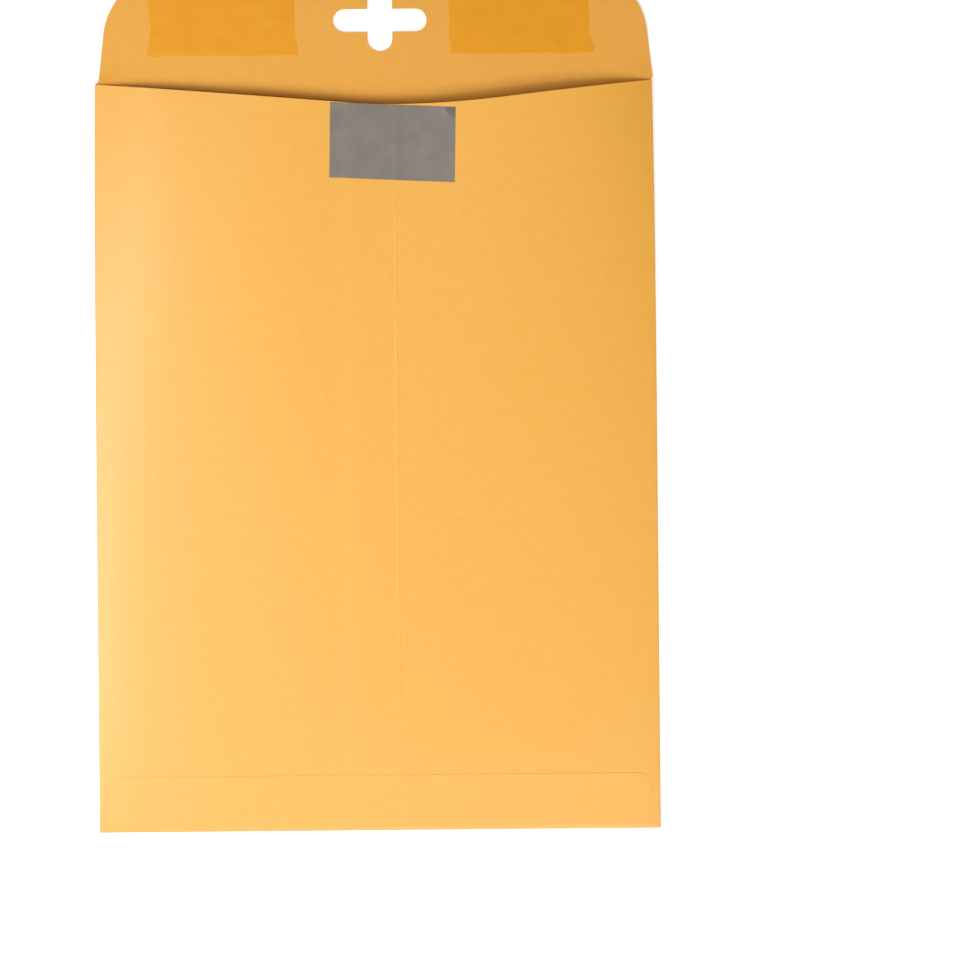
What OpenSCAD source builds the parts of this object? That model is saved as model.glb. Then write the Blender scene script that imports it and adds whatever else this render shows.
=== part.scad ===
// A large kraft paper envelope, empty, lying on its front with its seal flap open.
// One sheet is folded into a bag: front panel, two back panels that overlap at an
// off-centre seam, a bottom flap glued over them, and the seal flap with a cross-shaped
// hole. Two gum patches lie on the flap, and a film patch lies on the back, under the
// place where the hole comes when the flap is shut.
// X runs across the width, Y from the bottom fold to the flap, Z up from the table.

/* [Bag] */
// Width across the side folds
body_w = 228.6; // [180:0.1:330]
// Length from the bottom fold to the fold of the seal flap
body_l = 304.8; // [210:0.1:420]
// Thickness of the paper
paper_t = 0.14; // [0.1:0.01:0.3]
// Clear gap between the front and the back at the folds
fold_gap = 0.3; // [0.2:0.05:1]

/* [Open mouth] */
// Height that the back bows up at the mouth, without the drop in its middle
mouth_gape = 7.5; // [7:0.5:20]
// Fullness of the bow: higher is flatter on top and steeper beside the folds
mouth_fullness = 4; // [2:0.5:6]
// Share by which the bow is higher towards the right and lower towards the left
mouth_lean = 0.4; // [0:0.05:0.5]
// Drop of the bow where the stiff film and seam hold it down
mouth_dip = 2; // [0:0.5:4]
// Reach of that drop to each side
mouth_dip_w = 36; // [36:1:60]
// Width that the bow takes up at the mouth, on each side
mouth_pinch = 0.85; // [0:0.05:2]
// Length of bag over which the bow dies away
gape_reach = 220; // [100:1:260]
// Height of the air cushion in the closed part of the bag
puff = 1.4; // [0:0.1:3]
// Lift of the side folds off the table at the mouth
fold_lift = 1.5; // [0.2:0.1:3]
// Width at each side over which the front lifts
lift_w = 34; // [20:1:50]

/* [Throat] */
// Depth of the throat below the flap's fold, at the seam
throat_depth = 9.4; // [6:0.1:20]
// Length of the rounded middle, left of the seam
throat_round_left = 18; // [5:1:50]
// Length of the rounded middle, right of the seam
throat_round_right = 44; // [5:1:50]

/* [Back seam] */
// Free edge of the upper back panel, to the right of the middle
seam_x = 8.8; // [-15:0.1:15]
// Width over which the back panels overlap
seam_overlap = 17; // [8:0.5:25]
// Width over which the upper panel climbs onto the lower one, before the overlap
seam_climb = 7; // [2:0.5:8]

/* [Bottom flap] */
// Height of the bottom flap
bottom_flap_h = 22.5; // [14:0.1:40]
// Height at which its sides leave the side folds
bottom_flap_start = 3; // [2:0.1:6]
// Slant of its sides, from upright
bottom_flap_slant = 13.4; // [5:0.1:30]
// Radius of its corners
bottom_flap_r = 5; // [1:0.1:7]

/* [Seal flap] */
// Depth of the seal flap above its fold
flap_l = 50.8; // [46:0.1:70]
// Slant of its sides, from upright
flap_slant = 6.5; // [0:0.1:12]
// Step in from the left side fold to the flap's side
flap_inset_left = 1.7; // [0.5:0.1:4]
// Step in from the right side fold to the flap's side
flap_inset_right = 0.5; // [0.5:0.1:4]
// Run of its rounded corners, along the flap
flap_corner_l = 28.3; // [12:0.1:30]
// Run of its rounded corners, across the flap
flap_corner_w = 36.4; // [12:0.1:45]
// Angle at which the flap springs up from its fold
flap_angle = 2.5; // [0:0.1:6]

/* [Cross hole] */
// Width of the hole across the flap
hole_w = 38.1; // [26:0.1:44]
// Height of the hole along the flap
hole_h = 24.9; // [16:0.1:28]
// Width of the arm that runs across
hole_arm_across = 9.3; // [5:0.1:12]
// Width of the arm that runs along the flap
hole_arm_along = 10.1; // [5:0.1:12]
// Middle of the hole, to the right of the middle
hole_x = 2.8; // [-5:0.1:5]
// Middle of the hole, above the flap's fold
hole_up = 25.2; // [20:0.1:28]

/* [Gum patches] */
// Bare margin from the side folds to the gum
gum_side = 23.5; // [20:0.5:40]
// Gap between the two gum patches
gum_spacing = 62; // [52:0.5:80]
// Height of the gum's lower edge above the flap's fold
gum_up = 12; // [6:0.5:14]
// Bare margin between the gum and the flap's free edge
gum_margin = 8; // [7:0.5:16]
// Thickness of the gum
gum_t = 0.04; // [0.02:0.01:0.1]

/* [Closure film] */
// Width of the film patch
film_w = 51; // [40:0.5:60]
// Height of the film patch
film_h = 30.5; // [20:0.5:31]
// Middle of the film, to the right of the middle
film_x = 7.7; // [0:0.1:12]
// Gap between the throat and the middle of the film's upper edge
film_gap = 0.2; // [0.2:0.1:25]
// Fall of its upper and lower edges towards the right, in degrees
film_slant = 2.8; // [0:0.1:4]
// Lean of its sides towards the right, in degrees
film_lean = 1.2; // [0:0.1:2]
// Thickness of the film
film_t = 0.1; // [0.05:0.01:0.2]

/* [Hidden] */

// Room between a laid-on patch and the paper under it
laid_gap = 0.05;
// Run of a step that is one paper thickness high
step_run = 0.05;
// Run of the film's slope down from the seam's free edge
film_fall = 1.2;
// Widest spacing of the grid near the sides and on the gum
grid_w = 14;
// Widest spacing of the grid across the middle of the sheet and on the film
middle_w = 7;
// Stretches of the grid along the bag, above the bottom flap
grid_rows = 18;
// Points round each side fold, between its two ends
fold_points = 5;

fold_r = fold_gap / 2 + paper_t;
half_w = body_w / 2;
edge_x = half_w - fold_r;
bag_start = -(body_l + flap_l) / 2;
flap_start = bag_start + body_l;

// Share of the mouth's bow that is left at distance s above the bottom fold
function bow(s) = pow(max(0, s - body_l + gape_reach) / gape_reach, 2);

// A bowed wall takes up width, so each side fold moves in
function squeeze(s) = 1 - mouth_pinch * pow(bow(s), 2) / edge_x;

// Height of the front's underside: flat on the table, curling up beside the folds
function front_z(x, s) =
    fold_lift * bow(s) * pow(max(0, abs(x) - edge_x + lift_w) / lift_w, 2);

// Height of the back's upper side: a cushion that is full everywhere but beside the
// folds, and an arch at the mouth that drops a little in its middle
function cushion(x, s) =
    puff * (1 - pow(abs(x / edge_x), 9)) * (1 - pow(max(0, 1 - s / body_l), 20));
function arch(x) =
    let (
        dip = mouth_dip * exp(-pow((x - film_x) / mouth_dip_w, 2)),
        height = mouth_gape * (1 + mouth_lean * x / edge_x) - dip
    )
    fold_lift + (1 - pow(abs(x / edge_x), mouth_fullness)) * (height - fold_lift);
function back_z(x, s) = 2 * fold_r + cushion(x, s) + bow(s) * arch(x);

// Rise where the left back panel lies over the right one
function seam_rise(x) =
    let (climb_start = seam_x - seam_overlap - seam_climb)
    x > seam_x ? 0 : paper_t * min(1, max(0, x - climb_start) / seam_climb);

// Depth of the throat: a straight slant from each side fold that a parabola levels
// off at the seam
function slant_depth(p, run, round_l) =
    let (slope = throat_depth / (run - round_l / 2))
    slope * p - slope * pow(max(0, p - run + round_l), 2) / (2 * round_l);
function throat(x) =
    x <= seam_x ? slant_depth(x + edge_x, seam_x + edge_x, throat_round_left)
    : slant_depth(edge_x - x, edge_x - seam_x, throat_round_right);

// Height of the bottom flap's edge at distance d from a side fold: a slanted side,
// a round corner and a level top
corner_rise = bottom_flap_h - bottom_flap_r - bottom_flap_start;
corner_d = (bottom_flap_r + corner_rise * sin(bottom_flap_slant)) / cos(bottom_flap_slant);
tangent_d = corner_d - bottom_flap_r * cos(bottom_flap_slant);
function bottom_flap_edge(d) =
    d <= tangent_d ? bottom_flap_start + d / tan(bottom_flap_slant)
    : d >= corner_d ? bottom_flap_h
    : bottom_flap_h - bottom_flap_r + sqrt(pow(bottom_flap_r, 2) - pow(corner_d - d, 2));

// Sides of the seal flap at height v above its fold: a slant, then a quarter ellipse
function flap_corner(v) =
    let (t = max(0, v - flap_l + flap_corner_l) / flap_corner_l)
    flap_corner_w * (1 - sqrt(max(0, 1 - t * t)));
function flap_left(v) = -half_w + flap_inset_left + v * tan(flap_slant) + flap_corner(v);
function flap_right(v) = half_w - flap_inset_right - v * tan(flap_slant) - flap_corner(v);

// Height of the flap's underside: a plane that springs up from the fold, with the
// curl of the side folds dying away
function flap_z(x, v) =
    v * tan(flap_angle) + front_z(x, body_l) * pow(max(0, 1 - v / gum_up), 2);

// Splits each stretch between two key places into steps no longer than longest
function spread(keys, longest) = [
    for (k = [0 : len(keys) - 2])
        let (n = ceil((keys[k + 1] - keys[k]) / longest - 0.001))
        for (i = [0 : n - 1]) keys[k] + (keys[k + 1] - keys[k]) * i / n,
    keys[len(keys) - 1]
];
function reversed(list) = [for (k = [len(list) - 1 : -1 : 0]) list[k]];
function without_ends(list) = [for (k = [1 : len(list) - 2]) list[k]];
function mix(a, b, share) = a + (b - a) * share;

// A quadrilateral as two triangles
function quad(a, b, c, d) = [[a, b, c], [a, c, d]];

// Places across the sheet: the bottom flap's corners, the lifted sides and the seam
corner_places = [
    fold_r, tangent_d / 2, tangent_d,
    for (turn = [32 : 19 : 70]) corner_d - bottom_flap_r * cos(turn),
    corner_d
];
side_keys = [for (d = corner_places) d - half_w];
seam_keys = [
    seam_x - seam_overlap - seam_climb, seam_x - seam_overlap, seam_x, seam_x + step_run
];
left_places = spread(concat(side_keys, [lift_w - edge_x]), grid_w);
across = concat(
    left_places,
    without_ends(spread(concat([lift_w - edge_x], seam_keys, [edge_x - lift_w]), middle_w)),
    [for (x = reversed(left_places)) -x]);

// One ring round the bag: the front from left to right, the right fold, the back from
// right to left, and the left fold
cols = len(across);
ring = 2 * (cols + fold_points);
left_tip = 2 * cols + fold_points + (fold_points - 1) / 2;
function is_front(i) = i < cols;
function is_back(i) = i >= cols + fold_points && i < 2 * cols + fold_points;
function place(i) =
    is_front(i) ? across[i]
    : is_back(i) ? across[2 * cols + fold_points - 1 - i]
    : i < cols + fold_points ? edge_x : -edge_x;
function fold_turn(i) =
    i < cols + fold_points ? (i - cols + 1) * 180 / (fold_points + 1) - 90
    : 90 - (i - 2 * cols - fold_points + 1) * 180 / (fold_points + 1);
function is_inside_back(i) = i > cols + fold_points && i < 2 * cols + fold_points - 1;

// Rows along the bag: the rounded bottom fold, the bottom flap, its edge, and the rest
bottom_turns = [20, 50, 90];
bottom_r = fold_r + paper_t / 2;
pocket_start = 3 * bottom_r / 2;
flap_rows = 3;
edge_row = len(bottom_turns) + flap_rows - 1;
rows = edge_row + 1 + grid_rows + 1;
function row_start(j, inner) =
    inner ? pocket_start + j * bottom_r / 2
    : bottom_r * (cos(bottom_turns[0]) - cos(bottom_turns[j]));
function along(i, j, inner) =
    let (
        last = len(bottom_turns) - 1,
        flap_edge = bottom_flap_edge(half_w - abs(place(i))),
        end = body_l - (is_back(i) ? throat(place(i)) : 0)
    )
    j <= last ? row_start(j, inner)
    : j <= edge_row ? mix(row_start(last, inner), flap_edge, (j - last) / flap_rows)
    : mix(flap_edge + step_run, end, (j - edge_row - 1) / grid_rows);

// A point on the outer or inner side of the bag
function bag_point(i, j, inner) =
    let (
        s = along(i, j, inner),
        x = place(i),
        r = inner ? fold_r - paper_t : fold_r,
        t = inner ? paper_t : 0,
        flap_rise = is_inside_back(i) && j <= edge_row ? paper_t : 0,
        z = is_front(i) ? front_z(x, s) + t
            : is_back(i) ? back_z(x, s) - t + (inner ? 0 : seam_rise(x) + flap_rise)
            : front_z(x, s) + fold_r + r * sin(fold_turn(i)),
        bulge = is_front(i) || is_back(i) ? 0 : sign(x) * r * cos(fold_turn(i)),
        flatten = inner || j >= len(bottom_turns) ? 1 : sin(bottom_turns[j])
    )
    [x * squeeze(s) + bulge, s, mix(bottom_r, z, flatten)];

// Rows up the seal flap: the step in at its sides, the dying curl, and the corners
flap_keys = concat(
    spread([1.5, gum_up, flap_l - flap_corner_l], 5.5),
    [for (turn = [10 : 10 : 90]) flap_l - flap_corner_l * (1 - sin(turn))]);
function flap_point(i, m, upper) =
    let (
        v = flap_keys[m],
        share = (across[i] + edge_x) / (2 * edge_x),
        x = mix(flap_left(v), flap_right(v), share)
    )
    [x, body_l + v, flap_z(across[i], v) + (upper ? paper_t : 0)];

// The whole folded sheet as one skin, before the hole is cut
module folded_sheet() {
    flaps = len(flap_keys);
    inner_first = rows * ring;
    under_first = 2 * rows * ring;
    upper_first = under_first + flaps * cols;
    outer = function(i, j) j * ring + i % ring;
    inner = function(i, j) inner_first + j * ring + i % ring;
    under = function(i, m) m == 0 ? outer(i, rows - 1) : under_first + (m - 1) * cols + i;
    upper = function(i, m) m == 0 ? inner(i, rows - 1) : upper_first + (m - 1) * cols + i;
    low = function(k) (left_tip + k) % ring;
    high = function(k) (left_tip - k + ring) % ring;
    span = cols + fold_points;

    points = concat(
        [for (j = [0 : rows - 1], i = [0 : ring - 1]) bag_point(i, j, false)],
        [for (j = [0 : rows - 1], i = [0 : ring - 1]) bag_point(i, j, true)],
        [for (m = [0 : flaps - 1], i = [0 : cols - 1]) flap_point(i, m, false)],
        [for (m = [0 : flaps - 1], i = [0 : cols - 1]) flap_point(i, m, true)]);

    skins = [
        for (j = [0 : rows - 2], i = [0 : ring - 1])
            each concat(
                quad(outer(i, j), outer(i + 1, j), outer(i + 1, j + 1), outer(i, j + 1)),
                quad(inner(i, j + 1), inner(i + 1, j + 1), inner(i + 1, j), inner(i, j)))
    ];
    bottom = [
        for (k = [1 : span - 2])
            each concat(
                quad(outer(low(k), 0), outer(high(k), 0),
                    outer(high(k + 1), 0), outer(low(k + 1), 0)),
                quad(inner(low(k + 1), 0), inner(high(k + 1), 0),
                    inner(high(k), 0), inner(low(k), 0)))
    ];
    bottom_ends = [
        [outer(low(0), 0), outer(high(1), 0), outer(low(1), 0)],
        [inner(low(1), 0), inner(high(1), 0), inner(low(0), 0)],
        [outer(low(span - 1), 0), outer(high(span - 1), 0), outer(low(span), 0)],
        [inner(low(span), 0), inner(high(span - 1), 0), inner(low(span - 1), 0)]
    ];
    mouth = [
        for (i = [cols - 1 : ring - 1])
            each quad(outer(i, rows - 1), outer(i + 1, rows - 1),
                inner(i + 1, rows - 1), inner(i, rows - 1))
    ];
    flap_skins = [
        for (m = [0 : flaps - 1], i = [0 : cols - 2])
            each concat(
                quad(under(i, m), under(i + 1, m), under(i + 1, m + 1), under(i, m + 1)),
                quad(upper(i, m + 1), upper(i + 1, m + 1), upper(i + 1, m), upper(i, m)))
    ];
    flap_sides = [
        for (m = [0 : flaps - 1])
            each concat(
                quad(under(0, m), under(0, m + 1), upper(0, m + 1), upper(0, m)),
                quad(under(cols - 1, m), upper(cols - 1, m),
                    upper(cols - 1, m + 1), under(cols - 1, m + 1)))
    ];
    flap_end = [
        for (i = [0 : cols - 2])
            each quad(under(i, flaps), under(i + 1, flaps),
                upper(i + 1, flaps), upper(i, flaps))
    ];

    translate([0, bag_start, 0])
        polyhedron(points, concat(skins, bottom, bottom_ends, mouth,
            flap_skins, flap_sides, flap_end));
}

// A strip with round ends
module slot(length, width) {
    square([length - width, width], center = true);
    for (side = [-1, 1])
        translate([side * (length - width) / 2, 0]) circle(d = width, $fn = 64);
}

// The cross-shaped cutter, taller than the flap's rise
module cross_cutter() {
    height = 2 * flap_l;
    translate([hole_x, flap_start + hole_up, -height / 2])
        linear_extrude(height) {
            slot(hole_w, hole_arm_across);
            rotate(90) slot(hole_h, hole_arm_along);
        }
}

// A thin plate laid on the sheet: rows of points on its underside, one list per row
module laid_plate(grid, thickness) {
    n = len(grid);
    m = len(grid[0]);
    at = function(i, j, top) (top ? n * m : 0) + j * m + i;
    points = [
        for (rise = [0, thickness], row = grid, p = row) p + [0, 0, rise]
    ];
    skins = [
        for (j = [0 : n - 2], i = [0 : m - 2])
            each concat(
                quad(at(i, j, false), at(i + 1, j, false),
                    at(i + 1, j + 1, false), at(i, j + 1, false)),
                quad(at(i, j + 1, true), at(i + 1, j + 1, true),
                    at(i + 1, j, true), at(i, j, true)))
    ];
    sides = [
        for (j = [0 : n - 2])
            each concat(
                quad(at(0, j, false), at(0, j + 1, false), at(0, j + 1, true), at(0, j, true)),
                quad(at(m - 1, j, false), at(m - 1, j, true),
                    at(m - 1, j + 1, true), at(m - 1, j + 1, false)))
    ];
    ends = [
        for (i = [0 : m - 2])
            each concat(
                quad(at(i, 0, false), at(i, 0, true), at(i + 1, 0, true), at(i + 1, 0, false)),
                quad(at(i, n - 1, false), at(i + 1, n - 1, false),
                    at(i + 1, n - 1, true), at(i, n - 1, true)))
    ];
    polyhedron(points, concat(skins, sides, ends));
}

// Gum on the open flap, on the left (-1) or the right (1)
module gum_patch(side) {
    near = side * gum_spacing / 2;
    far = side * (half_w - gum_side);
    places = spread([min(near, far), max(near, far)], grid_w / 2);
    heights = spread([gum_up, flap_l - gum_margin], grid_w);
    laid_plate([
        for (v = heights) [
            for (x = places)
                [x, flap_start + v, v * tan(flap_angle) + paper_t + laid_gap]
        ]
    ], gum_t);
}

// The film bridges the overlapped seam with a slope on each side of it, which its
// leaning sides never bring nearer than the seam's own climb and step
film_slip = film_h / 2 * tan(film_lean) + step_run;
film_left = film_x - film_w / 2;
film_right = film_x + film_w / 2;
film_s = body_l - throat_depth - film_gap - film_h / 2;
film_keys = [
    seam_x - seam_overlap - film_slip - seam_climb,
    seam_x - seam_overlap - film_slip,
    seam_x + step_run + film_slip,
    seam_x + step_run + film_slip + film_fall
];
function film_rise(x) =
    paper_t * max(0, min(1, (x - film_keys[0]) / seam_climb, (film_keys[3] - x) / film_fall));

// A point on the film's underside: x across it, and up from its middle
function film_point(x, up) =
    let (
        s = film_s + up - (x - film_x) * tan(film_slant),
        leaned_x = x + up * tan(film_lean)
    )
    [
        leaned_x * squeeze(s),
        bag_start + s,
        back_z(leaned_x, s) + film_rise(x) + laid_gap
    ];

module paper_sheet() {
    color("#FCC76E")
        difference() {
            folded_sheet();
            cross_cutter();
        }
}

module gum_patch_left() {
    color("#EDA131") gum_patch(-1);
}

module gum_patch_right() {
    color("#E69B2A") gum_patch(1);
}

module closure_film() {
    inside = [for (x = film_keys) if (x > film_left + step_run && x < film_right - step_run) x];
    places = spread(concat([film_left], inside, [film_right]), middle_w);
    ups = spread([-film_h / 2, film_h / 2], middle_w);
    color("#8A8178")
        laid_plate([for (up = ups) [for (x = places) film_point(x, up)]], film_t);
}

paper_sheet();
gum_patch_left();
gum_patch_right();
closure_film();
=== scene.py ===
# %% [markdown]
# # A kraft envelope with its flap open
#
# The object is a large catalog envelope: one sheet of golden-brown kraft paper, folded
# and glued into a bag, that lies on its front with the seal flap open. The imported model
# gives its true size and place. This script gives it thin paper with real layers, soft
# folds and surface finishes, and then a floor, two lamps and a camera.

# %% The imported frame
import math

import bmesh
import bpy
import numpy as np
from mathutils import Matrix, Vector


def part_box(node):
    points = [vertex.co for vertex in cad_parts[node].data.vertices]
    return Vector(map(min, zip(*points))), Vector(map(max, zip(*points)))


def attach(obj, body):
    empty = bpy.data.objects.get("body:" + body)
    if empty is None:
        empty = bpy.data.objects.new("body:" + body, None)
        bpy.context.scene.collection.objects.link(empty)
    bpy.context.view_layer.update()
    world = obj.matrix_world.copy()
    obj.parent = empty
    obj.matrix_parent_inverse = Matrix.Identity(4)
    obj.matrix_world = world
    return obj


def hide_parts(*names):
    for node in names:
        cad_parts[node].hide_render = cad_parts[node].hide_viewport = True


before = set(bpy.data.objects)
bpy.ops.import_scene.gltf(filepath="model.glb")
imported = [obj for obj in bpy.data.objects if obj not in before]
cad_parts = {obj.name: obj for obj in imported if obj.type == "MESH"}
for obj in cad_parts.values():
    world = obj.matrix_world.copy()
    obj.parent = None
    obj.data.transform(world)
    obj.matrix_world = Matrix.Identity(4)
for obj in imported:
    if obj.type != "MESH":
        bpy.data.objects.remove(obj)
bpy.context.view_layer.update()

print("pieces in the frame:", sorted(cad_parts))

# %% [markdown]
# ## Sizes
#
# Paper is easiest to think of in millimetres, and Blender counts in metres, so every
# size here is in millimetres and one factor turns the finished points into metres. The
# outer sizes are read from the frame: when the model changes its size, this script
# follows. What the frame's boxes cannot say, such as the depth of the throat, has a name
# of its own: h is a height, w a width, l a length, t a thickness and r a radius.

# %% Sizes read from the frame
MM = 0.001


def box_mm(node):
    """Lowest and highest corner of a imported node, in millimetres."""
    low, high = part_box(node)
    return np.array(low) / MM, np.array(high) / MM


sheet_low, sheet_high = box_mm("paper_sheet")
film_low, film_high = box_mm("closure_film")
body_w = sheet_high[0] - sheet_low[0]
half_w = body_w / 2
flap_l = 50.8
body_l = sheet_high[1] - sheet_low[1] - flap_l
bag_start = sheet_low[1]
flap_start = bag_start + body_l
film_x = (film_low[0] + film_high[0]) / 2
film_s = (film_low[1] + film_high[1]) / 2 - bag_start
print(f"bag {body_w:.1f} x {body_l:.1f} mm, flap {flap_l} mm")

# %% Sizes of the folds, the seam and the cuts
paper_t = 0.14
fold_gap = 0.3
layer_gap = 0.02
fold_r = fold_gap / 2 + paper_t
edge_x = half_w - fold_r

mouth_gape = 7.5
mouth_fullness = 4
mouth_lean = 0.4
mouth_dip = 2
mouth_dip_w = 36
mouth_pinch = 0.85
gape_reach = 220
fold_lift = 1.5
lift_w = 34
puff = 1.15
puff_side_power = 9
puff_mouth_power = 3
puff_end_power = 7
swell_h, swell_x, swell_w = 1.8, -100, 20
ripple_h = 0.06
flap_wave_h = 0.08

throat_depth = 9.4
throat_round_left = 18
throat_round_right = 44

seam_x = 8.8
seam_overlap = 17
seam_climb = 7
seam_under = seam_x - seam_overlap
seam_edge_h, seam_edge_w = 0.07, 1.6

bottom_flap_h = 22.5
bottom_flap_start = 3
bottom_flap_slant = math.radians(13.4)
bottom_flap_r = 5

flap_slant = math.radians(6.5)
flap_inset_left = 2.1
flap_inset_right = 0.3
flap_corner_l = 30
flap_corner_w = 36.4
flap_angle = math.radians(2.5)
shoulder_l = 1.6
gum_up = 12

hole_x = 2.8
hole_up = 25.2
hole_across = (38.1, 9.3)
hole_along = (24.9, 10.1)
print(f"the side folds are {2 * fold_r:.2f} mm thick, the paper {paper_t} mm")

# %% [markdown]
# ## The shape of the bag
#
# The closed end of the bag is almost flat. Towards the mouth the back bows up into an
# arch, the side folds lift a little, and the sides come closer together, because a bowed
# wall takes up width. The height could be sculpted by hand, but a few short formulas say
# the same thing for every layer at once, so layers that lie on each other can use the
# same formula and never cut through each other.


# %% Heights of the front and the back
def mix(a, b, share):
    """The value that lies a share of the way from a to b."""
    return a + (b - a) * share


def smooth(value, start, end):
    """0 before start, 1 after end, and an even S-shaped ramp between them."""
    share = np.clip((value - start) / (end - start), 0, 1)
    return share * share * (3 - 2 * share)


def bow(s):
    """Share of the mouth's bow at distance s above the bottom fold: a parabola."""
    return (np.maximum(0, s - body_l + gape_reach) / gape_reach) ** 2


def squeeze(s):
    """Share of its width that the bag keeps: a bowed wall takes up some of it."""
    return 1 - mouth_pinch * bow(s) ** 2 / edge_x


def curl(x):
    """Share of the fold's lift at x: a parabola that starts lift_w inside the fold."""
    return (np.maximum(0, np.abs(x) - edge_x + lift_w) / lift_w) ** 2


def front_z(x, s):
    """Middle of the front's paper: half its thickness above the table, and beside the
    folds the lift times the bow and the curl."""
    return paper_t / 2 + fold_lift * bow(s) * curl(x)


def ripple(x, s):
    """Slow waves of a sheet that was handled: three crossing sines, none at the folds."""
    waves = (np.sin(x / 17 + s / 43) + np.sin(s / 23 - x / 61 + 2) + np.sin(x / 31 - s / 37 + 4))
    return ripple_h * waves * (1 - (x / edge_x) ** 4) * smooth(s, 10, 60)


def back_z(x, s):
    """Middle of the back's paper: a low cushion of air, one minus a power of the place
    across, and at the mouth an arch of the same kind, higher on the right, that the
    stiff film and seam hold down with a Gauss curve. Another one swells it a little
    beside the left fold."""
    side = np.abs(x / edge_x)
    side_power = mix(puff_side_power, puff_mouth_power, bow(s))
    cushion = puff * (1 - side**side_power) * (1 - (1 - s / body_l) ** puff_end_power)
    dip = mouth_dip * np.exp(-(((x - film_x) / mouth_dip_w) ** 2))
    height = mouth_gape * (1 + mouth_lean * bow(s) * x / edge_x) - dip
    arch = fold_lift + (1 - side**mouth_fullness) * (height - fold_lift)
    swelling = swell_h * np.exp(-(((x - swell_x) / swell_w) ** 2)) * (1 - side**5) ** 2
    return 2 * fold_r - paper_t / 2 + cushion + bow(s) * (arch + swelling) + ripple(x, s)


print(f"the mouth opens {back_z(0, body_l) - front_z(0, body_l):.1f} mm")

# %% [markdown]
# ## Cut lines
#
# The blank of an envelope is die-cut: the throat, the bottom flap and the seal flap get
# their outlines from one steel rule. Each outline here is a short formula too: straight
# slants that a parabola, a circle or an ellipse rounds off.


# %% Outlines of the throat and the flaps
def slant_depth(p, run, round_l):
    """Depth at distance p from a fold: a straight slant, levelled off by a parabola."""
    slope = throat_depth / (run - round_l / 2)
    return slope * p - slope * np.maximum(0, p - run + round_l) ** 2 / (2 * round_l)


def throat(x):
    """Depth of the throat below the flap's fold, deepest at the seam."""
    left = slant_depth(x + edge_x, seam_x + edge_x, throat_round_left)
    right = slant_depth(edge_x - x, edge_x - seam_x, throat_round_right)
    return np.where(x <= seam_x, left, right)


corner_rise = bottom_flap_h - bottom_flap_r - bottom_flap_start
corner_d = (bottom_flap_r + corner_rise * math.sin(bottom_flap_slant)) / math.cos(bottom_flap_slant)
tangent_d = corner_d - bottom_flap_r * math.cos(bottom_flap_slant)


def bottom_flap_edge(x):
    """Top of the bottom flap at x: a slanted side, a round corner and a level top."""
    d = half_w - np.abs(x)
    slanted = bottom_flap_start + d / math.tan(bottom_flap_slant)
    inside = np.maximum(0, bottom_flap_r**2 - (corner_d - d) ** 2)
    rounded = bottom_flap_h - bottom_flap_r + np.sqrt(inside)
    return np.where(d <= tangent_d, slanted, np.where(d >= corner_d, bottom_flap_h, rounded))


def flap_side(v, inset):
    """Half width of the seal flap at height v: a slant, then a quarter of an ellipse."""
    t = np.clip((v - flap_l + flap_corner_l) / flap_corner_l, 0, 1)
    corner = flap_corner_w * (1 - np.sqrt(1 - t * t))
    straight = half_w - inset - v * math.tan(flap_slant) - corner
    fold_side = edge_x * squeeze(body_l)
    return mix(fold_side, straight, smooth(v, 0, shoulder_l))


def flap_z(x, v):
    """Middle of the flap's paper: a slope up from its fold, one slow sine wave, and the
    curl of the sides, which dies away by a parabola."""
    spring = v * math.tan(flap_angle) + flap_wave_h * smooth(v, 0, 20) * np.sin(x / 19 + v / 27)
    dying = np.maximum(0, 1 - v / gum_up) ** 2
    return spring + paper_t / 2 + fold_lift * curl(x) * dying


print(f"the throat is {float(throat(np.array(seam_x))):.1f} mm deep at the seam")

# %% [markdown]
# ## From grids to a mesh
#
# Every stretch of paper is a grid: columns run one way, rows the other, and each small
# field becomes one four-sided face. Where two grids meet they have the same points, and
# merging these doubles sews the sheet together. Each point also keeps its place on the
# flat, unfolded sheet as its UV coordinates, in metres, so that the pattern of the paper
# lies in the sheet and does not run on from one layer to the next.


# %% Grid helpers
def spread(keys, longest):
    """Places from the first key to the last: all keys, and even steps between them."""
    parts = [
        np.linspace(a, b, max(1, math.ceil((b - a) / longest - 0.001)), endpoint=False)
        for a, b in zip(keys[:-1], keys[1:])
    ]
    return np.append(np.concatenate(parts), keys[-1])


def grid_faces(rows, cols):
    """The fields of a grid, each as its four corner numbers, going round."""
    at = np.arange(rows * cols).reshape(rows, cols)
    return np.stack([at[:-1, :-1], at[:-1, 1:], at[1:, 1:], at[1:, :-1]], -1)


def sheet_grid(x, y, z, flat_x, flat_y, keep=None):
    """One stretch of paper: its points, its places on the flat sheet and its fields."""
    x, y, z, flat_x, flat_y = np.broadcast_arrays(x, y, z, flat_x, flat_y)
    faces = grid_faces(*x.shape)
    faces = faces.reshape(-1, 4) if keep is None else faces[keep]
    points = np.stack([x, y, z], -1).reshape(-1, 3) * MM
    flat = np.stack([flat_x, flat_y], -1).reshape(-1, 2) * MM
    return points, flat, faces


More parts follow.
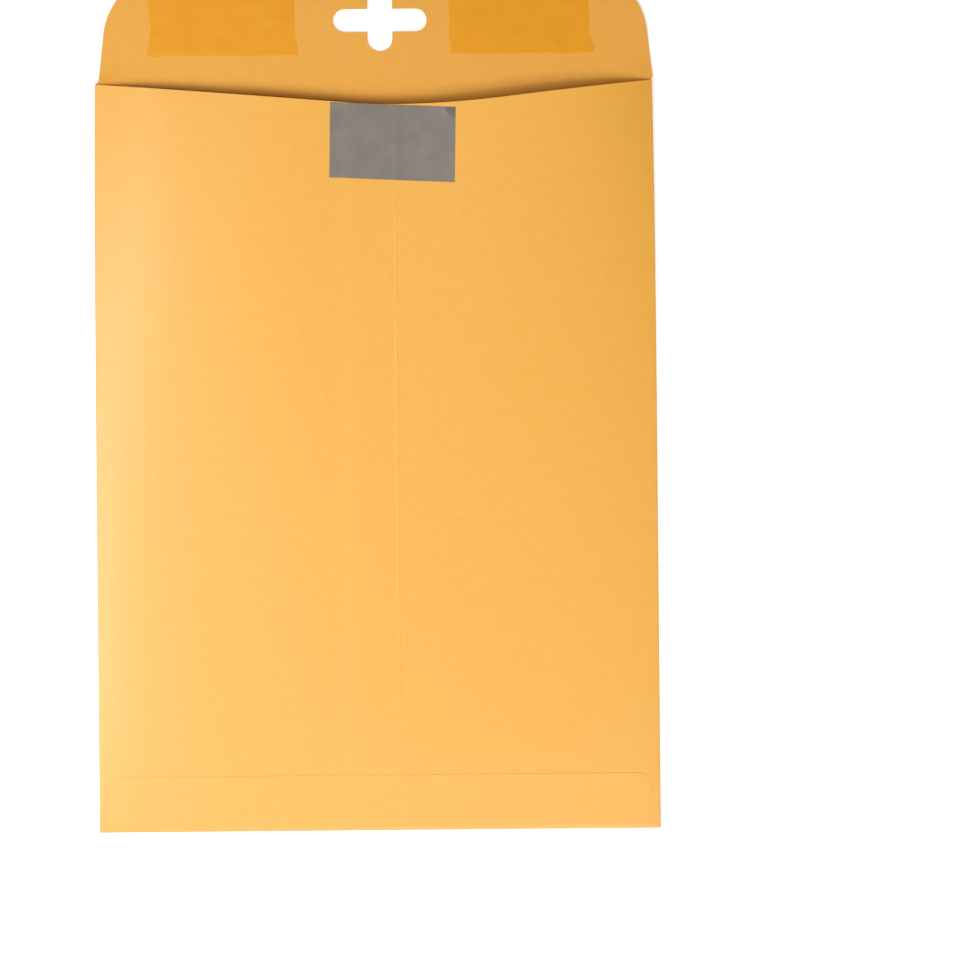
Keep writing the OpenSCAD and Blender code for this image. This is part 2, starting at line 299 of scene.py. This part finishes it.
def make_piece(name, grids):
    """One mesh object from several grids, with their shared points merged."""
    starts = np.cumsum([0] + [len(points) for points, _, _ in grids[:-1]])
    points = np.concatenate([points for points, _, _ in grids])
    flat = np.concatenate([flat for _, flat, _ in grids])
    faces = np.concatenate([quads + start for start, (_, _, quads) in zip(starts, grids)])
    mesh = bpy.data.meshes.new(name)
    mesh.from_pydata(points.tolist(), [], faces.tolist())
    layer = mesh.uv_layers.new(name="Sheet")
    layer.data.foreach_set("uv", flat[faces.ravel()].astype(np.float32).ravel())
    merged = bmesh.new()
    merged.from_mesh(mesh)
    bmesh.ops.remove_doubles(merged, verts=merged.verts, dist=0.001 * MM)
    loose = [vertex for vertex in merged.verts if not vertex.link_faces]
    bmesh.ops.delete(merged, geom=loose, context="VERTS")
    merged.to_mesh(mesh)
    merged.free()
    piece = bpy.data.objects.new(name, mesh)
    bpy.context.scene.collection.objects.link(piece)
    return piece


def give_thickness(piece, thickness, offset, materials):
    """Turns a skin into a closed plate: two sides and a rim, each with its own finish."""
    for material in materials:
        piece.data.materials.append(material)
    solid = piece.modifiers.new("Thickness", "SOLIDIFY")
    solid.thickness = thickness * MM
    solid.offset = offset
    solid.use_even_offset = True
    solid.material_offset = min(1, len(materials) - 1)
    solid.material_offset_rim = len(materials) - 1
    bpy.context.view_layer.update()
    finished = piece.evaluated_get(bpy.context.evaluated_depsgraph_get())
    piece.data = bpy.data.meshes.new_from_object(finished)
    piece.modifiers.clear()
    piece.data.name = piece.name
    piece.data.polygons.foreach_set("use_smooth", np.ones(len(piece.data.polygons), bool))
    piece.data.set_sharp_from_angle(angle=math.radians(35))
    print(f"{piece.name}: {len(piece.data.polygons)} faces")


print("a grid of 3 x 4 points has", len(grid_faces(3, 4).reshape(-1, 4)), "fields")

# %% [markdown]
# ## The strip round the bag
#
# Wound round once, the sheet starts at the hidden edge of the right back panel, turns
# at the right fold, crosses the front, turns at the left fold and ends at the free edge
# of the left back panel. A folded plane with hard creases would look like sheet metal,
# so each fold is half a small circle. The left panel climbs one paper thickness onto
# the right one, and its free edge stands up a hair, as glued paper does.

# %% Columns across the sheet
front_scale = squeeze(body_l)
window_w = 23
window_h = window_w * hole_across[1] / hole_along[1]
corner_turns = np.radians([14, 29, 42, 54, 66, 78])
side_places = np.concatenate([
    [edge_x, half_w - tangent_d / 2, half_w - tangent_d],
    half_w - corner_d + bottom_flap_r * np.cos(corner_turns),
    [half_w - corner_d],
])
window_places = [(hole_x - window_w) / front_scale, (hole_x + window_w) / front_scale]
front_columns = np.concatenate([
    -side_places,
    spread([-side_places[-1], window_places[0]], 2.9)[1:-1],
    spread(window_places, 1.15),
    spread([window_places[1], side_places[-1]], 2.9)[1:-1],
    side_places[::-1],
])[::-1]
edge_steps = [0, 0.25, 0.6, 1.2, 2]
seam_columns = [seam_under - seam_climb, seam_under]
left_columns = spread(
    [-edge_x, -edge_x + 1, -edge_x + 3] + seam_columns
    + [seam_x - step for step in reversed(edge_steps)], 2.9)
right_columns = spread([seam_under + 0.2, seam_x, edge_x - 3, edge_x - 1, edge_x], 2.9)
print(len(front_columns), "columns on the front,", len(left_columns), "on the left panel")


# %% The strip's layers
row_start = 0.4
bag_rows = spread([row_start, 1.2, 3, bottom_flap_h, 27, body_l - 30, body_l], 3.2)[:, None]
fold_angles = np.radians(np.linspace(-90, 90, 9))


def back_rows(x):
    """The rows on a back panel: evenly stretched so that the last lies on the throat."""
    share = (bag_rows - row_start) / (body_l - row_start)
    return row_start + share * (body_l - throat(x) - row_start)


def seam_rise(x):
    """Rise of what lies on the overlapped seam: one paper thickness over a short climb."""
    return (paper_t + layer_gap) * smooth(x, seam_under - seam_climb, seam_under)


def seam_lift(x, s):
    """The free edge of the seam stands up a little, by a parabola over its last strip,
    except under the bottom flap and the film."""
    open_stretch = smooth(s, 26, 40) * (1 - smooth(s, film_s - 17, film_s - 14.5))
    return seam_edge_h * open_stretch * np.maximum(0, 1 - (seam_x - x) / seam_edge_w) ** 2


def bag_layer(x, s, z, flat_x):
    """A stretch of the strip as a grid, drawn in where the bag is bowed."""
    return sheet_grid(x * squeeze(s), bag_start + s, z, flat_x, s)


def fold_ring(side, turns):
    """A side fold: half a circle from turn to turn, carried along the bag."""
    r = fold_r - paper_t / 2
    x = side * (edge_x * squeeze(bag_rows) + r * np.cos(turns))
    z = front_z(edge_x, bag_rows) - paper_t / 2 + fold_r + r * np.sin(turns)
    flat_x = side * (edge_x + r * (turns + math.pi / 2))
    return sheet_grid(x, bag_start + bag_rows, z, flat_x, bag_rows)


fold_run = math.pi * (fold_r - paper_t / 2)
right_s = back_rows(right_columns)
left_s = back_rows(left_columns)
left_top = back_z(left_columns, left_s) + seam_rise(left_columns) + seam_lift(left_columns, left_s)
strip = [
    bag_layer(right_columns, right_s, back_z(right_columns, right_s),
              2 * edge_x + fold_run - right_columns),
    fold_ring(1, fold_angles[::-1]),
    bag_layer(front_columns, bag_rows, front_z(front_columns, bag_rows), front_columns),
    fold_ring(-1, fold_angles),
    bag_layer(left_columns, left_s, left_top, -2 * edge_x - fold_run - left_columns),
]
print("strip points:", sum(len(points) for points, _, _ in strip))

# %% [markdown]
# ## The bottom flap
#
# The front runs on past the bottom of the bag. It is folded over the back panels and
# glued down, and that closes the bag. Its grid uses the front's columns, so the two
# join without a gap: the first rows follow the flap down from its cut edge, and the
# last ones go round the fold. The cut edge stands clear by less than a fifth
# of a millimetre, because the glue stops short of it, and so a fine dark line shows it.

# %% The bottom flap and its fold
flap_x = front_columns
flap_edge = bottom_flap_edge(flap_x)
flap_share = np.array([0, 0.01, 0.022, 0.036, 0.052, 0.07, 0.11, 0.17, 0.25, 0.34,
                       0.44, 0.54, 0.64, 0.74, 0.84, 0.92, 1])
flap_s = mix(flap_edge, row_start, flap_share[:, None])
over_seam = seam_rise(flap_x) - (paper_t + layer_gap) * smooth(flap_x, seam_x, seam_x + 2)
slant_edge_h, top_edge_h, glue_free_w = 0.04, 0.13, 12
edge_height = mix(slant_edge_h, top_edge_h,
                  smooth(half_w - np.abs(flap_x), tangent_d, corner_d))
edge_lift = edge_height * np.maximum(0, 1 - (flap_edge - flap_s) / glue_free_w) ** 2
flap_top = back_z(flap_x, flap_s) + over_seam + paper_t + layer_gap + edge_lift
bottom_turns = np.radians(np.linspace(180, 0, 10))[1:, None]
turn_l, turn_half_h = row_start - paper_t / 2, 0.3
turn_s = row_start - turn_l * np.sin(bottom_turns)
turn_z = mix(front_z(flap_x, 0), flap_top[-1], (1 - np.cos(bottom_turns)) / 2)
turn_run = math.pi / 2 * (turn_l + turn_half_h) / 2
bottom_flap = sheet_grid(
    flap_x,
    bag_start + np.concatenate([flap_s, np.broadcast_to(turn_s, turn_z.shape)]),
    np.concatenate([flap_top, turn_z]),
    flap_x,
    np.concatenate([-flap_s - turn_run,
                    np.broadcast_to(-turn_run * bottom_turns / math.pi, turn_z.shape)]))
print(f"bottom flap {flap_edge.max():.1f} mm high")

# %% [markdown]
# ## The seal flap and its cross-shaped hole
#
# Above the mouth the front runs on as the seal flap. A hole could be cut with a Boolean
# modifier, but that leaves long thin triangles round it, which shade badly. Here a window
# is left open in the grid and filled with rings: each ring's points lie on straight lines
# from the window's border to the hole's outline. The outline is a star shape seen from
# its middle, so one distance for each direction describes both arms and their round ends.


# %% The outline of the hole
def arm_reach(length, width, along, aside):
    """Distance to the edge of a round-ended slot, in a direction with these two parts."""
    end = (length - width) / 2
    straight = width / 2 / np.maximum(np.abs(aside), 1e-9)
    inside = np.maximum(0, (width / 2) ** 2 - (end * aside) ** 2)
    rounded = end * np.abs(along) + np.sqrt(inside)
    return np.where(straight * np.abs(along) <= end, straight, rounded)


def hole_reach(turn):
    """Distance from the middle of the hole to its outline: the farther of both arms."""
    across, up = np.cos(turn), np.sin(turn)
    return np.maximum(arm_reach(*hole_across, across, up), arm_reach(*hole_along, up, across))


print(f"arms of {float(hole_reach(0)):.1f} mm across and {float(hole_reach(math.pi / 2)):.1f} mm up")

# %% The flap's grid, with a window for the hole
window_v = [hole_up - window_h, hole_up + window_h]
core_x = 62


def flap_place(x, v):
    """Columns stay straight in the middle of the flap and follow its sides outside it."""
    shift = np.abs(x) * front_scale
    side = np.where(x < 0, flap_side(v, flap_inset_left), flap_side(v, flap_inset_right))
    outer = core_x + (shift - core_x) * (side - core_x) / (edge_x * front_scale - core_x)
    return np.sign(x) * np.where(shift <= core_x, shift, outer)


low_rows = spread([0, 0.4, 0.8, 1.2, 1.6, window_v[0]], 1.2)
corner_rows = flap_l - flap_corner_l * (1 - np.sin(np.radians(np.linspace(0, 90, 19))))
high_rows = corner_rows[corner_rows > window_v[1] + 0.3]
flap_rows = np.concatenate([low_rows, spread(window_v, 1.15)[1:], high_rows])[:, None]
seal_x = flap_place(front_columns, flap_rows)
seal_v = np.broadcast_to(flap_rows, seal_x.shape)
middle_x = (seal_x[:-1, :-1] + seal_x[1:, 1:]) / 2
middle_v = (seal_v[:-1, :-1] + seal_v[1:, 1:]) / 2
outside_window = ((np.abs(middle_x - hole_x) > window_w) | (np.abs(middle_v - hole_up) > window_h))
seal_flap = sheet_grid(seal_x, flap_start + seal_v, flap_z(seal_x, seal_v),
                       seal_x, body_l + seal_v, keep=outside_window)
print(f"{outside_window.sum()} of {outside_window.size} fields kept round the window")

# %% Rings between the window and the hole
column_in = np.flatnonzero(np.abs(seal_x[0] - hole_x) < window_w + 0.01)
row_in = np.flatnonzero(np.abs(flap_rows[:, 0] - hole_up) < window_h + 0.01)
xs, vs = seal_x[0, column_in], flap_rows[row_in, 0]
border_x = np.concatenate([xs[:-1], np.full(len(vs) - 1, xs[-1]),
                           xs[:0:-1], np.full(len(vs) - 1, xs[0]), xs[:1]])
border_v = np.concatenate([np.full(len(xs) - 1, vs[0]), vs[:-1],
                           np.full(len(xs) - 1, vs[-1]), vs[:0:-1], vs[:1]])
turn = np.arctan2(border_v - hole_up, border_x - hole_x)
inward = np.array([0, 0.12, 0.25, 0.38, 0.51, 0.64, 0.76, 0.87, 0.95, 1])[:, None]
ring_x = mix(border_x, hole_x + hole_reach(turn) * np.cos(turn), inward)
ring_v = mix(border_v, hole_up + hole_reach(turn) * np.sin(turn), inward)
hole_rings = sheet_grid(ring_x, flap_start + ring_v, flap_z(ring_x, ring_v),
                        ring_x, body_l + ring_v)
print(f"hole {np.ptp(ring_x[-1]):.1f} x {np.ptp(ring_v[-1]):.1f} mm from {len(turn)} points")

# %% [markdown]
# ## Colour and node helpers
#
# Picture programs write colours as sRGB hex values, while Blender's shaders count in
# linear light, so one function turns one into the other. A second small function adds a
# node, sets it and links it, which keeps each material readable from top to bottom, and
# a third starts an empty material.


# %% Helpers for materials
def linear(hex_colour):
    """An sRGB hex value such as #FDC86F as linear red, green, blue and full opacity."""
    values = [int(hex_colour[i:i + 2], 16) / 255 for i in (1, 3, 5)]
    return tuple(v / 12.92 if v <= 0.04045 else ((v + 0.055) / 1.055) ** 2.4 for v in values) + (1,)


def add_node(tree, kind, inputs, **settings):
    """Adds a node: settings are its properties, and inputs are values or links."""
    node = tree.nodes.new("ShaderNode" + kind)
    for name, value in settings.items():
        setattr(node, name, value)
    for socket, value in inputs.items():
        if isinstance(value, bpy.types.NodeSocket):
            tree.links.new(value, node.inputs[socket])
        else:
            node.inputs[socket].default_value = value
    return node


def new_material(name):
    """An empty node material, with its tree and the output to link to."""
    material = bpy.data.materials.new(name)
    material.use_nodes = True
    material.node_tree.nodes.clear()
    output = material.node_tree.nodes.new("ShaderNodeOutputMaterial")
    return material, material.node_tree, output


# A Mix node has several sockets called A, B and Result, so they are told by number.
FACTOR, NUMBER_A, NUMBER_B, COLOUR_A, COLOUR_B = 0, 2, 3, 6, 7
NUMBER_OUT, COLOUR_OUT = 0, 2
print("kraft gold in linear light:", [round(value, 2) for value in linear("#F8BC52")])


# %% [markdown]
# ## Kraft paper
#
# Kraft is unbleached, long-fibred paper, here dyed golden. It is matte. Held to the
# light it looks cloudy, because fibres lie in clumps a few millimetres wide while the
# web is formed. Fibres point mostly the way that the machine ran, and a few dark specks
# of bark stay in the pulp. A photo texture would repeat, so noise of three sizes makes
# the clouds, the fibres and the specks, and the fibres also make a very low relief. A
# real fibre is only about 0.04 mm wide, too fine to show in a picture of the whole
# envelope, so it is drawn as a strand half a millimetre wide. Inside, the sheet is a
# little darker and less smooth, and a cut edge is paler.


# %% The paper's materials
def kraft_paper(name, light, dark, roughness, ior, shift):
    """Golden kraft: clouds of formation, short fibres, bark specks and a fibre relief."""
    material, tree, output = new_material(name)
    sheet = add_node(tree, "UVMap", {}, uv_map="Sheet").outputs["UV"]
    placed = add_node(tree, "Mapping", {"Vector": sheet, "Location": (shift, shift, 0)})
    # Drawn out about six times along the sheet, the noise turns into fibres.
    along = add_node(tree, "Mapping", {"Vector": placed.outputs["Vector"], "Scale": (1, 0.16, 1)})
    cloud_mm, fibre_mm, speck_mm = 4.5, 0.5, 7

    clouds = add_node(tree, "TexNoise", {
        "Vector": placed.outputs["Vector"], "Scale": 1 / (cloud_mm * MM),
        "Detail": 4, "Roughness": 0.6})
    fibres = add_node(tree, "TexNoise", {
        "Vector": along.outputs["Vector"], "Scale": 1 / (fibre_mm * MM),
        "Detail": 2, "Roughness": 0.6})
    both = add_node(tree, "Mix", {
        FACTOR: 0.4, NUMBER_A: clouds.outputs["Fac"], NUMBER_B: fibres.outputs["Fac"]},
        data_type="FLOAT")
    tone = add_node(tree, "ValToRGB", {"Fac": both.outputs[NUMBER_OUT]})
    tone.color_ramp.elements[0].position = 0.3
    tone.color_ramp.elements[0].color = linear(dark)
    tone.color_ramp.elements[1].position = 0.7
    tone.color_ramp.elements[1].color = linear(light)

    bark = add_node(tree, "TexVoronoi", {
        "Vector": placed.outputs["Vector"], "Scale": 1 / (speck_mm * MM)})
    speck = add_node(tree, "MapRange", {
        "Value": bark.outputs["Distance"], "From Min": 0.012, "From Max": 0.03,
        "To Min": 0.35, "To Max": 0})
    colour = add_node(tree, "Mix", {
        FACTOR: speck.outputs["Result"], COLOUR_A: tone.outputs["Color"],
        COLOUR_B: linear("#A8712F")}, data_type="RGBA")

    relief = add_node(tree, "Bump", {
        "Height": fibres.outputs["Fac"], "Distance": 0.02 * MM, "Strength": 0.6})
    paper = add_node(tree, "BsdfPrincipled", {
        "Base Color": colour.outputs[COLOUR_OUT], "Roughness": roughness,
        "IOR": ior, "Normal": relief.outputs["Normal"]})
    tree.links.new(paper.outputs[0], output.inputs["Surface"])
    return material


kraft_outside = kraft_paper("Kraft paper, outside", "#F8BC52", "#F4B549", 0.35, 1.5, 0)
kraft_inside = kraft_paper("Kraft paper, inside", "#F2B452", "#EDAD48", 0.5, 1.3, 3)
kraft_edge = kraft_paper("Kraft paper, cut edge", "#FFCF84", "#F6BF6E", 0.7, 1.5, 5)
print("three finishes of one paper")

# %% [markdown]
# ## Joining the sheet
#
# The strip, the bottom flap and the seal flap are sewn into one skin and given the
# thickness of the paper. The Solidify modifier spreads it evenly to both sides, marks
# the inner side and closes every cut edge, and each gets its own finish.

# %% The folded sheet
envelope_sheet = make_piece("envelope_sheet", strip + [bottom_flap, seal_flap, hole_rings])
give_thickness(envelope_sheet, paper_t, 0, [kraft_outside, kraft_inside, kraft_edge])
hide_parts("paper_sheet")
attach(envelope_sheet, "root")

# %% [markdown]
# ## Gum on the flap
#
# The flap carries two patches of dried gum, the kind that sticks when it is wetted. A
# roller lays it on, and it dries into a thin, even layer with a dull shine that soaks
# the paper a deeper orange. Where the roller starts and stops, the edge wanders. The
# patch is a grid that lies on the flap, and a few sine waves of different lengths bend
# its sides.

# %% The gum's finish
gum_cloud_mm, gum_pit_mm = 6, 9
gum_material, tree, output = new_material("Dried envelope gum")
sheet = add_node(tree, "UVMap", {}, uv_map="Sheet").outputs["UV"]
# The clouds are drawn out across the flap, the way that the roller ran.
rolled = add_node(tree, "Mapping", {"Vector": sheet, "Scale": (0.6, 1, 1)})
soaked = add_node(tree, "TexNoise", {
    "Vector": rolled.outputs["Vector"], "Scale": 1 / (gum_cloud_mm * MM),
    "Detail": 4, "Roughness": 0.5})
tone = add_node(tree, "ValToRGB", {"Fac": soaked.outputs["Fac"]})
tone.color_ramp.elements[0].position = 0.25
tone.color_ramp.elements[0].color = linear("#EB9E12")
tone.color_ramp.elements[1].position = 0.75
tone.color_ramp.elements[1].color = linear("#F0A71D")
pits = add_node(tree, "TexVoronoi", {
    "Vector": rolled.outputs["Vector"], "Scale": 1 / (gum_pit_mm * MM)})
pit = add_node(tree, "MapRange", {
    "Value": pits.outputs["Distance"], "From Min": 0.03, "From Max": 0.09,
    "To Min": 0.4, "To Max": 0})
colour = add_node(tree, "Mix", {
    FACTOR: pit.outputs["Result"], COLOUR_A: tone.outputs["Color"],
    COLOUR_B: linear("#C97F1C")}, data_type="RGBA")
relief = add_node(tree, "Bump", {
    "Height": soaked.outputs["Fac"], "Distance": 0.03 * MM, "Strength": 0.3})
gum = add_node(tree, "BsdfPrincipled", {
    "Base Color": colour.outputs[COLOUR_OUT], "Roughness": 0.5, "IOR": 1.35,
    "Normal": relief.outputs["Normal"]})
tree.links.new(gum.outputs[0], output.inputs["Surface"])
print(f"gum with clouds {gum_cloud_mm} mm wide, and a few pits")


# %% Two gum patches
gum_skin_t = 0.05
wander_h = 0.45
foot_low, foot_high, foot_drop, foot_wander = 2.4, 7.7, 0.6, 0.4


def wander(t, seed):
    """A side that wanders: five sine waves, each shorter and lower than the last."""
    phases = np.random.default_rng(seed).uniform(0, 2 * math.pi, 5)
    waves = [np.sin(t / length + phase) * length / 8
             for length, phase in zip([5, 2.6, 1.4, 0.7, 0.35], phases)]
    return wander_h * np.sum(waves, axis=0)


def gum_patch(name, node, seed, tops, feet):
    """Gum on the flap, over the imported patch's own field: each point lies a share of
    the way between two wandering sides. Each side has a shift of its own, and one more
    at the foot, where the roller stops."""
    low, high = box_mm(node)
    width, height = high[0] - low[0], high[1] - low[1]
    share_x = spread([0, 1], 0.006)
    share_v = spread([0, 1], 0.012)[:, None]
    foot = 1 - smooth(share_v * height, foot_low, foot_high)
    left = low[0] + tops[0] + feet[0] * foot + wander(share_v * height, seed)
    right = high[0] + tops[1] + feet[1] * foot + wander(share_v * height, seed + 1)
    start = low[1] - flap_start - foot_drop + foot_wander * wander(share_x * width, seed + 2)
    x = mix(left, right, share_x)
    v = mix(start, high[1] - flap_start, share_v)
    z = flap_z(x, v) + paper_t / 2
    patch = make_piece(name, [sheet_grid(x, flap_start + v, z, x, body_l + v)])
    give_thickness(patch, gum_skin_t, 1, [gum_material])
    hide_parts(node)
    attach(patch, "root")


gum_patch("gum_left", "gum_patch_left", 4, (-0.4, -1), (-0.8, 1.6))
gum_patch("gum_right", "gum_patch_right", 9, (-0.2, -2.9), (1, 2))

# %% [markdown]
# ## The film on the back
#
# Just below the throat a patch of grey plastic film is stuck over the seam. It lies
# where the hole of the closed flap comes, so that the gum of the closure can be peeled
# off again. Blown polyethylene is waxy: it has a satin shine, a cloudy grey and shallow
# creases. It follows what is under it, so its grid rises over the overlapped seam. A
# quarter of a disc at its upper right corner is drawn in a darker grey.

# %% The film's finish
film_w, film_h, film_t = 51, 30.5, 0.1
film_cloud_mm, film_crease_mm = 9, 3
dark_corner_mm, blend_mm = 4.1, 0.3
film_material, tree, output = new_material("Grey polyethylene film")
sheet = add_node(tree, "UVMap", {}, uv_map="Sheet").outputs["UV"]
cloudy = add_node(tree, "TexNoise", {
    "Vector": sheet, "Scale": 1 / (film_cloud_mm * MM), "Detail": 4, "Roughness": 0.55})
tone = add_node(tree, "ValToRGB", {"Fac": cloudy.outputs["Fac"]})
tone.color_ramp.elements[0].position = 0.32
tone.color_ramp.elements[0].color = linear("#7B746C")
tone.color_ramp.elements[1].position = 0.68
tone.color_ramp.elements[1].color = linear("#86807A")
creases = add_node(tree, "TexNoise", {
    "Vector": sheet, "Scale": 1 / (film_crease_mm * MM), "Detail": 3, "Distortion": 0.6})
relief = add_node(tree, "Bump", {
    "Height": creases.outputs["Fac"], "Distance": 0.05 * MM, "Strength": 0.5})
# A quarter of a disc round the upper right corner is drawn in a darker grey.
film_corner = (film_w / 2 * MM, film_h / 2 * MM, 0)
from_corner = add_node(tree, "VectorMath", {0: sheet, 1: film_corner}, operation="DISTANCE")
loose = add_node(tree, "MapRange", {
    "Value": from_corner.outputs["Value"],
    "From Min": (dark_corner_mm - blend_mm) * MM, "From Max": (dark_corner_mm + blend_mm) * MM,
    "To Min": 0.8, "To Max": 0})
colour = add_node(tree, "Mix", {
    FACTOR: loose.outputs["Result"], COLOUR_A: tone.outputs["Color"],
    COLOUR_B: linear("#6A6057")}, data_type="RGBA")
film = add_node(tree, "BsdfPrincipled", {
    "Base Color": colour.outputs[COLOUR_OUT], "Roughness": 0.45, "IOR": 1.5,
    "Normal": relief.outputs["Normal"]})
tree.links.new(film.outputs[0], output.inputs["Surface"])
print(f"film {film_w} x {film_h} mm, loose for {dark_corner_mm} mm at one corner")

# %% The film patch
film_slant = math.radians(2.8)
film_lean = math.radians(1.2)
film_fall_w = 4
across = spread([-film_w / 2, film_w / 2], 0.7)
up = spread([-film_h / 2, film_h / 2], 0.7)[:, None]
place_x = film_x + across + up * math.tan(film_lean)
place_s = film_s + up - across * math.tan(film_slant)
fall = (paper_t + layer_gap) * smooth(place_x, seam_x, seam_x + film_fall_w)
ridge = seam_edge_h * np.maximum(0, 1 - np.abs(place_x - seam_x) / seam_edge_w) ** 2
ridge = ridge * (1 - smooth(up, -4, 9))
over = seam_rise(place_x) - fall + ridge
film_z = back_z(place_x / squeeze(place_s), place_s) + over + paper_t / 2 + layer_gap
film_patch = make_piece("film_patch", [
    sheet_grid(place_x, bag_start + place_s, film_z, across, up)])
give_thickness(film_patch, film_t, 1, [film_material])
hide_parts("closure_film")
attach(film_patch, "root")

# %% [markdown]
# ## Floor, light and camera
#
# The envelope was pictured from straight above on white. The floor reads as pure white,
# because a little light of its own is added for what the camera, a mirror or glass sees,
# and it still takes the envelope's soft shadow. One big lamp could light it all, but two
# show more: a long one at the left makes the paper beside the left fold shine, and a wide
# one beyond the bottom fold lights the whole back and leaves the throat in shade. The
# air's own light is weak and warm, as it is where light comes back from brown paper.

# %% The floor
floor_glow = 0.46
floor_drop = 0.05
far = 6
floor_mesh = bpy.data.meshes.new("floor")
floor_mesh.from_pydata([(-far, -far, 0), (far, -far, 0), (far, far, 0), (-far, far, 0)],
                       [], [(0, 1, 2, 3)])
floor = bpy.data.objects.new("floor", floor_mesh)
floor.location.z = -floor_drop * MM
bpy.context.scene.collection.objects.link(floor)
white_floor, tree, output = new_material("White floor")
light_path = add_node(tree, "LightPath", {})
camera_or_glossy = add_node(tree, "Math", {
    0: light_path.outputs["Is Camera Ray"], 1: light_path.outputs["Is Glossy Ray"]},
    operation="MAXIMUM")
seen = add_node(tree, "Math", {
    0: camera_or_glossy.outputs[0], 1: light_path.outputs["Is Transmission Ray"]},
    operation="MAXIMUM")
matte = add_node(tree, "BsdfDiffuse", {"Color": linear("#E7E7E7")})
strength = add_node(tree, "Math", {0: seen.outputs[0], 1: floor_glow}, operation="MULTIPLY")
glow = add_node(tree, "Emission", {"Strength": strength.outputs[0]})
total = add_node(tree, "AddShader", {0: matte.outputs[0], 1: glow.outputs[0]})
tree.links.new(total.outputs[0], output.inputs["Surface"])
floor_mesh.materials.append(white_floor)
print(f"floor {2 * far} m wide, glowing {floor_glow} for the camera")

# %% The air's light and the backdrop
air_glow = 0.16
world = bpy.data.worlds.new("Studio")
bpy.context.scene.world = world
world.use_nodes = True
tree = world.node_tree
tree.nodes.clear()
light_path = add_node(tree, "LightPath", {})
ambient = add_node(tree, "Background", {"Color": linear("#FFD49E"), "Strength": air_glow})
backdrop = add_node(tree, "Background", {"Color": (1, 1, 1, 1), "Strength": 1})
shown = add_node(tree, "MixShader", {
    0: light_path.outputs["Is Camera Ray"], 1: ambient.outputs[0], 2: backdrop.outputs[0]})
world_output = tree.nodes.new("ShaderNodeOutputWorld")
tree.links.new(shown.outputs[0], world_output.inputs["Surface"])
print(f"air glowing {air_glow} on the envelope, 1 behind it")


# %% Two lamps
def area_lamp(name, width, length, watts, place):
    """A flat lamp at a place in metres, aimed at the middle of the envelope."""
    data = bpy.data.lights.new(name, "AREA")
    data.shape = "RECTANGLE"
    data.size = width
    data.size_y = length
    data.energy = watts
    lamp = bpy.data.objects.new(name, data)
    lamp.location = place
    lamp.rotation_euler = (-lamp.location).to_track_quat("-Z", "Y").to_euler()
    bpy.context.scene.collection.objects.link(lamp)
    print(f"{name}: {watts} W")
    return lamp


key = area_lamp("key", 0.25, 0.42, 3.5, (-0.33, -0.1, 0.7))
# Turned about one axis only, the long lamp stays parallel to the side of the bag.
key.rotation_euler = (0, math.atan2(key.location.x, key.location.z), 0)
area_lamp("low", 0.7, 0.7, 10.9, (0.22, -0.72, 1.3))

# %% [markdown]
# The camera looks straight down through a long lens, so that heights hardly shift what
# they carry. The picture is 970 x 971 pixels at 2.45 pixels for each millimetre. The
# middle of the flap's fold is at a measured pixel, and so the middle of the picture
# lies right of it and below it. The envelope is turned half a degree in the picture.

# %% The camera
picture_px = np.array([970, 971])
px_per_mm = 2.45
sensor_mm = 36
fold_middle_px = (373.6, 83.0)
object_turn = math.radians(0.53)
camera_height = 2
from_fold = (picture_px / 2 - fold_middle_px) / px_per_mm
right_of_fold = from_fold[0] * math.cos(object_turn) - from_fold[1] * math.sin(object_turn)
below_fold = from_fold[0] * math.sin(object_turn) + from_fold[1] * math.cos(object_turn)
camera_data = bpy.data.cameras.new("camera")
camera_data.sensor_width = sensor_mm
camera_data.lens = sensor_mm * camera_height / (picture_px[0] / px_per_mm * MM)
camera = bpy.data.objects.new("camera", camera_data)
camera.location = (right_of_fold * MM, (flap_start - below_fold) * MM, camera_height)
camera.rotation_euler = (0, 0, -object_turn)
bpy.context.scene.collection.objects.link(camera)
bpy.context.scene.camera = camera
bpy.context.scene.view_settings.view_transform = "Standard"
print(f"lens {camera_data.lens:.0f} mm, aimed at {right_of_fold:.1f}, {flap_start - below_fold:.1f} mm")
